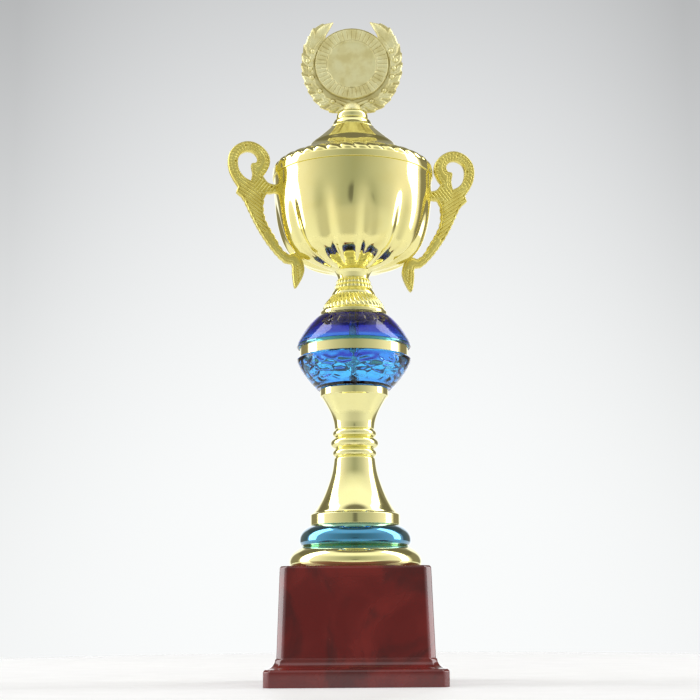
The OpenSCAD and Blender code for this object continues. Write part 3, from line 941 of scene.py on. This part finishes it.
def wreath_face(p, edge):
    """Half thickness of the wreath and how much painted shade its hollows get, at each point."""
    q = np.stack([np.abs(p[:, 0]), p[:, 1]], axis=1)
    r = np.linalg.norm(p, axis=1)
    height = np.full(len(p), PLATE)
    for leaf in branch_leaves():
        height = np.maximum(height, PLATE + leaf_height(q, *leaf))
    for berry in BERRIES:
        gap = np.linalg.norm(q - np.array(berry), axis=1)
        height -= 0.45 * groove(gap - 1.3, 0.22)
        ball = 0.8 * np.sqrt(np.maximum(BERRY_R ** 2 - gap ** 2, 0))
        height = np.where(gap < BERRY_R, PLATE + 0.5 + ball, height)
    stem = np.abs(q[:, 1] + RING_R + 4.2 - 0.42 * q[:, 0])
    height += (q[:, 0] < 8) * (0.45 * groove(stem, 0.7) - 0.5 * groove(stem - 1.1, 0.22))
    height = np.where(edge < 0.5, np.minimum(height, PLATE + 0.1 + edge), height)
    ray = np.abs(np.sin(RAYS / 2 * np.arctan2(p[:, 1], p[:, 0]))) * r * 2 / RAYS
    band = smooth(r, RECESS_R + 0.5, RECESS_R + 0.8) * (1 - smooth(r, RING_R - 0.9, RING_R - 0.6))
    lines = 0.42 * band * groove(ray, 0.2) + 0.40 * groove(r - RECESS_R - 0.35, 0.2)
    on_ring = r < RING_R
    height = np.where(on_ring, RING_FACE - lines, height)
    slot = 0.8 * groove(np.hypot(q[:, 0] / 2, q[:, 1] + RING_R + 0.5), 0.4)
    rim_line = 0.6 * groove(r - RING_R, 0.24) + slot
    height = np.maximum(height - rim_line, 0.3)
    # Painted shade: darker in the ring's engraved lines and lower between the leaves.
    hollow = np.where(on_ring, (lines + rim_line) / 0.4, PLATE + 0.75 - height)
    return height, np.clip(hollow, 0, 1)


def wreath():
    """The wreath and its ray ring in relief on both faces, on the boss that the knob carries."""
    recess_front, recess_rear = 0.8, 1.35
    boss_r, boss_h, seat = 4.9, 5.4, 0.2
    right = branch_outline()
    outlines = [arc((0, 0), RING_R + 0.6, 0, 360, 180)[:-1], right, mirrored(right)]
    folds = [arc((0, 0), RECESS_R, 0, 360, 120)[:-1]]
    kept = {}

    def front(p, edge):
        height, kept["hollow"] = wreath_face(p, edge)
        return np.where(np.linalg.norm(p, axis=1) < RECESS_R, recess_front, height)

    def rear(p, edge):
        height, _ = wreath_face(p, edge)
        return np.where(np.linalg.norm(p, axis=1) < RECESS_R, recess_rear, height)

    points, faces, count = casting(outlines, [], folds, CAST_STEP, front, rear)
    in_recess = np.linalg.norm(points[:count, ::2], axis=1) < RECESS_R
    # Painted shade for the hollows, none in the plain recess.
    hollow = np.tile(np.where(in_recess, 0.0, 0.85 * kept["hollow"]), 2)
    points[:, 2] += bottom("wreath") + WREATH_FOOT
    outline = [(0, seat), (boss_r - 0.2, seat), (boss_r, 1)]
    outline += curve([(4.8, 1.6), (4.1, 3.6), (2.6, 4.9), (0.3, boss_h)]) + [(0, boss_h)]
    boss = turned(softened(outline, 0.2), top("finial_base") - seat, 96)
    solid = joined((points, faces), boss)
    hollow = np.concatenate([hollow, np.zeros(len(boss[0]))])
    piece("laurel_wreath", solid, WREATH_GOLD, "lid", ["wreath"], hollow=hollow)


# ---- fasteners

def thread(radius, pitch, depth):
    """Presses a screw thread into every point near the given radius."""
    def shape(r, h, angle):
        turn = (h / pitch - angle / (2 * math.pi)) % 1
        cut = depth * (1 - np.abs(2 * turn - 1))
        return np.where(np.abs(r - radius) < 0.02, r - cut, r), h
    return shape


def threaded_rod(radius, length, pitch, z):
    """A plain rod with a thread at each end."""
    thread_l, end, depth = 24.0, 0.5, 0.42
    low = np.arange(end, thread_l, pitch / 5)
    high = np.arange(length - thread_l, length - end, pitch / 5)
    rows = [(radius, h) for h in [*low, *high]]
    outline = [(0, 0), (radius - end, 0)] + rows + [(radius - end, length), (0, length)]
    return turned(outline, z, 40, thread(radius, pitch, depth))


def hex_nut(node):
    """A plain hexagon nut with its corners chamfered."""
    width, height = 8.0, tall(node)
    flat_r = width / 2

    def shape(r, h, angle):
        fold = (angle + math.pi / 6) % (math.pi / 3) - math.pi / 6
        side = flat_r / np.cos(fold)
        cone = flat_r + 0.1 + 1.6 * np.minimum(h, height - h)
        return np.where(r > flat_r - 0.5, np.minimum(side, cone), r), h

    rows = [(flat_r + 0.6, h) for h in np.linspace(0, height, 15)]
    outline = [(ROD_D / 2, 0), (flat_r - 0.6, 0)] + rows + [(flat_r - 0.6, height), (ROD_D / 2, height)]
    return turned(outline, bottom(node), 120, shape)


def washer(radius, hole, thickness, z=0.0):
    """A flat ring. hole is the hole's radius."""
    outline = [(hole, 0), (radius, 0), (radius, thickness), (hole, thickness)]
    return turned(softened(outline, 0.2), z, 96)


def cross_head_screw(head_r, shank_r, head_h, length, pitch):
    """A pan-head screw along +Z, with the underside of its head at z = 0 and its head below."""
    brim = 0.35
    dome = [(head_r * math.sin(a), -head_h * (brim + (1 - brim) * math.cos(a)))
            for a in np.linspace(0, math.pi / 2, 18)]
    rows = [(shank_r, h) for h in np.arange(0.1, length - 0.6, pitch / 5)]
    outline = dome + [(head_r, -0.05), (head_r - 0.05, 0), (shank_r, 0)] + rows
    outline += [(shank_r - 0.4, length), (0, length)]
    cut = thread(shank_r, pitch, 0.25)

    def shape(r, h, angle):
        r, h = cut(r, h, angle)
        x, y = np.abs(r * np.cos(angle)), np.abs(r * np.sin(angle))
        slot = 1 - smooth(np.minimum(x, y), 0.10 * head_r, 0.2 * head_r)
        slot = slot * (1 - smooth(np.hypot(x, y), 0.5 * head_r, 0.7 * head_r)) * (h < -0.3 * head_h)
        return r, h + 0.55 * head_h * slot

    return turned(outline, 0, 72, shape)


def fasteners():
    """The tie rod with its nuts and washers, and the lid's screw and washer."""
    rod = threaded_rod(ROD_D / 2, tall("tie_rod"), ROD_PITCH, bottom("tie_rod"))
    piece("threaded_tie_rod", rod, ZINC, "trophy", ["tie_rod"])
    for place in ("base", "bowl"):
        piece(f"{place}_hex_nut", hex_nut(place + "_nut"), ZINC, "trophy", [place + "_nut"],
              weighted=True)
        node = place + "_washer"
        ring = washer(wide(node), HOLE_R, tall(node), bottom(node))
        piece(f"{place}_flat_washer", ring, ZINC, "trophy", [node], weighted=True)
    head_r, head_h, pitch = 3.5, 2.4, 0.7
    screw = cross_head_screw(head_r, LID_SCREW_D / 2, head_h, tall("lid_screw") - head_h, pitch)
    screw = placed(screw, Matrix.Translation((0, 0, bottom("lid_screw") + head_h)))
    piece("lid_pan_screw", screw, ZINC, "lid", ["lid_screw"])
    ring = washer(wide("lid_washer"), LID_HOLE_R, tall("lid_washer"), bottom("lid_washer"))
    piece("lid_flat_washer", ring, ZINC, "lid", ["lid_washer"], weighted=True)


def handle_fasteners(side, angle):
    """The two screws and washers that hold one handle, seen from inside the bowl."""
    shank_d, length, washer_t = 2.2, 5.2, 0.6
    wall_x = wide("bowl") - 0.3 - SHEET
    upper = Matrix.Translation((wall_x, 0, bottom("bowl") + 41.4)) @ Matrix.Rotation(math.pi / 2, 4, "Y")
    lower = Matrix.Translation((29.7, 0, bottom("bowl") + 7.9))
    lower = lower @ Matrix.Rotation(math.radians(140), 4, "Y") @ Matrix.Translation((0, 0, -SHEET - 0.25))
    turn = Matrix.Rotation(angle, 4, "Z")
    back = Matrix.Translation((0, 0, -0.8))
    flush = Matrix.Translation((0, 0, -0.2 - washer_t))
    screw = cross_head_screw(shank_d, shank_d / 2, 1.4, length, 0.6)
    ring = washer(1.5 * shank_d, shank_d / 2, washer_t)
    screws = joined(*[placed(screw, turn @ spot @ back) for spot in (upper, lower)])
    rings = joined(*[placed(ring, turn @ spot @ flush) for spot in (upper, lower)])
    piece(f"handle_screw_pair_{side}", screws, ZINC, "trophy", [f"handle_screws_{side}"])
    piece(f"handle_washer_pair_{side}", rings, ZINC, "trophy", [f"handle_washers_{side}"])


# ---- studio

def camera():
    """A long lens low in front of the plinth, tilted up at the trophy."""
    data = bpy.data.cameras.new("camera")
    data.lens = 72.8
    data.sensor_width = 36.0
    shown = bpy.data.objects.new("camera", data)
    bpy.context.scene.collection.objects.link(shown)
    spot, yaw, tilt, roll = (0, -0.691, 0.032), 0.16, 10.607, -0.39
    aim = Matrix.Rotation(math.radians(yaw), 4, "Z")
    aim = aim @ Matrix.Rotation(math.radians(90 + tilt), 4, "X")
    aim = aim @ Matrix.Rotation(math.radians(roll), 4, "Z")
    shown.matrix_world = Matrix.Translation(spot) @ aim
    bpy.context.scene.camera = shown


def softbox(name, at, target, width, height, radiance):
    """A rectangular light panel. Its power follows from how bright its face is."""
    light = bpy.data.lights.new(name, "AREA")
    light.shape = "RECTANGLE"
    light.size, light.size_y = width, height
    light.energy = radiance * width * height * math.pi
    shown = bpy.data.objects.new(name, light)
    bpy.context.scene.collection.objects.link(shown)
    shown.location = at
    shown.rotation_mode = "QUATERNION"
    shown.rotation_quaternion = (Vector(target) - Vector(at)).to_track_quat("-Z", "Y")


def backdrop(n, height, aside):
    """What the camera sees behind the trophy: pale, with painted shade that darkens it towards the top and
    the sides.
    """
    # Painted shade: the backdrop darkens towards the top and towards the sides.
    rise = n.math("MAXIMUM", n.math("DIVIDE", n.math("SUBTRACT", height, 3.0), 21.3), 0.0)
    top_painted_shade = n.math("MINIMUM", n.math("MULTIPLY", n.math("POWER", rise, 2.0), 0.31), 0.45)
    from_back = n.math("DIVIDE", n.math("SUBTRACT", 180.0, aside), 14.0)
    edge = n.math("MINIMUM", n.math("POWER", from_back, 2.6), 1.0)
    side_painted_shade = n.math("MULTIPLY", edge, n.between(height, -2, 24, 0.06, 0.28))
    level = n.math("MULTIPLY", n.math("SUBTRACT", 0.975, top_painted_shade), n.math("SUBTRACT", 1.0, side_painted_shade))
    grey = n.add("ShaderNodeCombineColor", {0: level, 1: level, 2: level}).outputs[0]
    tint = n.mix(n.between(height, 5, 24, 0, 1), rgb(0.985, 1.0, 1.0), rgb(0.975, 0.99, 1.0))
    return n.mix(1.0, tint, grey, "MULTIPLY")


def room(n, direction, height, aside):
    """What the plating reflects: a dim front, pale sides and back, and dark gaps between them."""
    camera_spot, camera_grey = (0.0, -1.0, 0.02), rgb(0.08, 0.08, 0.08)
    front = n.mix(n.between(aside, 0, 40, 0, 1), rgb(0.38, 0.40, 0.36), rgb(0.56, 0.57, 0.54))
    front = n.mix(n.between(aside, 30, 88, 0, 1), front, rgb(1.02, 0.98, 1.0))
    near_camera = n.between(n.distance(direction, camera_spot), 0.05, 0.17, 0.7, 0)
    front = n.mix(near_camera, front, camera_grey)
    table = n.mix(n.between(aside, 8, 90, 0, 1), rgb(0.62, 0.62, 0.60), rgb(0.98, 0.98, 0.98))
    front = n.mix(n.between(height, -26, 4, 1, 0), front, table)
    walls = n.mix(n.between(aside, 110, 119, 0, 1), front, rgb(0.26, 0.24, 0.19))
    walls = n.mix(n.between(aside, 148, 160, 0, 1), walls, rgb(1.18, 1.19, 1.2))
    above_sheet = n.math("MULTIPLY", n.between(height, 24, 30, 0, 1),
                         n.between(aside, 95, 125, 0, 0.85))
    walls = n.mix(above_sheet, walls, rgb(0.16, 0.15, 0.12))
    above_front = n.math("MULTIPLY", n.between(height, 30, 50, 0, 1),
                         n.between(aside, 95, 125, 1, 0))
    walls = n.mix(above_front, walls, rgb(1.15, 1.15, 1.15))
    roofed = n.mix(n.between(height, 64, 74, 0, 1), walls, rgb(0.20, 0.19, 0.17))
    return n.mix(n.between(height, -16, -5, 1, 0), roofed, table)


def world():
    """The backdrop for the camera and the room for everything that reflects. Angles are in degrees."""
    made = bpy.data.worlds.new("studio")
    bpy.context.scene.world = made
    made.use_nodes = True
    n = Nodes(made.node_tree)
    direction = n.add("ShaderNodeTexCoord").outputs["Generated"]
    axes = n.add("ShaderNodeSeparateXYZ", {0: direction}).outputs
    degrees = 180 / math.pi
    height = n.math("MULTIPLY", n.math("ARCSINE", axes[2]), degrees)
    forward = n.math("MULTIPLY", axes[1], -1.0)
    aside = n.math("ABSOLUTE", n.math("MULTIPLY", n.math("ARCTAN2", axes[0], forward), degrees))
    seen = n.add("ShaderNodeLightPath").outputs["Is Camera Ray"]
    colour = n.mix(seen, room(n, direction, height, aside), backdrop(n, height, aside))
    shader = n.add("ShaderNodeBackground", {"Color": colour, "Strength": 1.0})
    n.add("ShaderNodeOutputWorld", {"Surface": shader.outputs[0]})


def floor():
    """A pale round table top, mostly behind the plinth, lifted by an even painted glow, that fades into the
    backdrop.
    """
    radius, set_back = 0.5, 0.19
    fade_start, fade_end = 0.68 * radius, 0.82 * radius

    def inputs(n):
        dull, bright = rgb(0.56, 0.56, 0.56), rgb(0.58, 0.58, 0.575)
        tone = n.mix(n.between(n.noise(6, 3), 0.3, 0.7, 0, 1), dull, bright)
        return {
            "Base Color": tone,
            "Roughness": n.between(n.noise(40, 3), 0.3, 0.7, 0.5, 0.65),
            "Normal": n.bump(n.noise(500, 2), 0.03, 0.0003),
            # Painted light: an even white glow lifts the whole table top.
            "Emission Color": rgb(1.0, 1.0, 1.0),
            "Emission Strength": 0.31,
            "Alpha": n.between(n.length(n.place()), fade_start, fade_end, 1, 0),
        }
    material = surface("pale floor", inputs)
    mesh = bpy.data.meshes.new("floor")
    work = bmesh.new()
    bmesh.ops.create_circle(work, cap_ends=True, segments=96, radius=radius)
    work.to_mesh(mesh)
    work.free()
    mesh.materials.append(material)
    made = bpy.data.objects.new("floor", mesh)
    bpy.context.scene.collection.objects.link(made)
    made.location = (0, set_back, bottom("plinth") * MM)


def studio():
    """The camera, the backdrop, the table and a tall softbox on each side."""
    camera()
    world()
    floor()
    target, panel_h, radiance = (0, 0, 0.2), 1.9, 3.4
    softbox("left softbox", (-1.18, 0.17, 0.75), target, 0.60, panel_h, radiance)
    softbox("right softbox", (1.19, 0.12, 0.75), target, 0.50, panel_h, radiance)
    bpy.context.scene.view_settings.view_transform = "Standard"


studio()
plinth()
base_parts()
foot_ring_gold()
foot_ring_blue()
column()
crystal_lower()
ball_band()
crystal_upper()
neck()
bowl()
lid()
finial_base()
handles()
wreath()
fasteners()
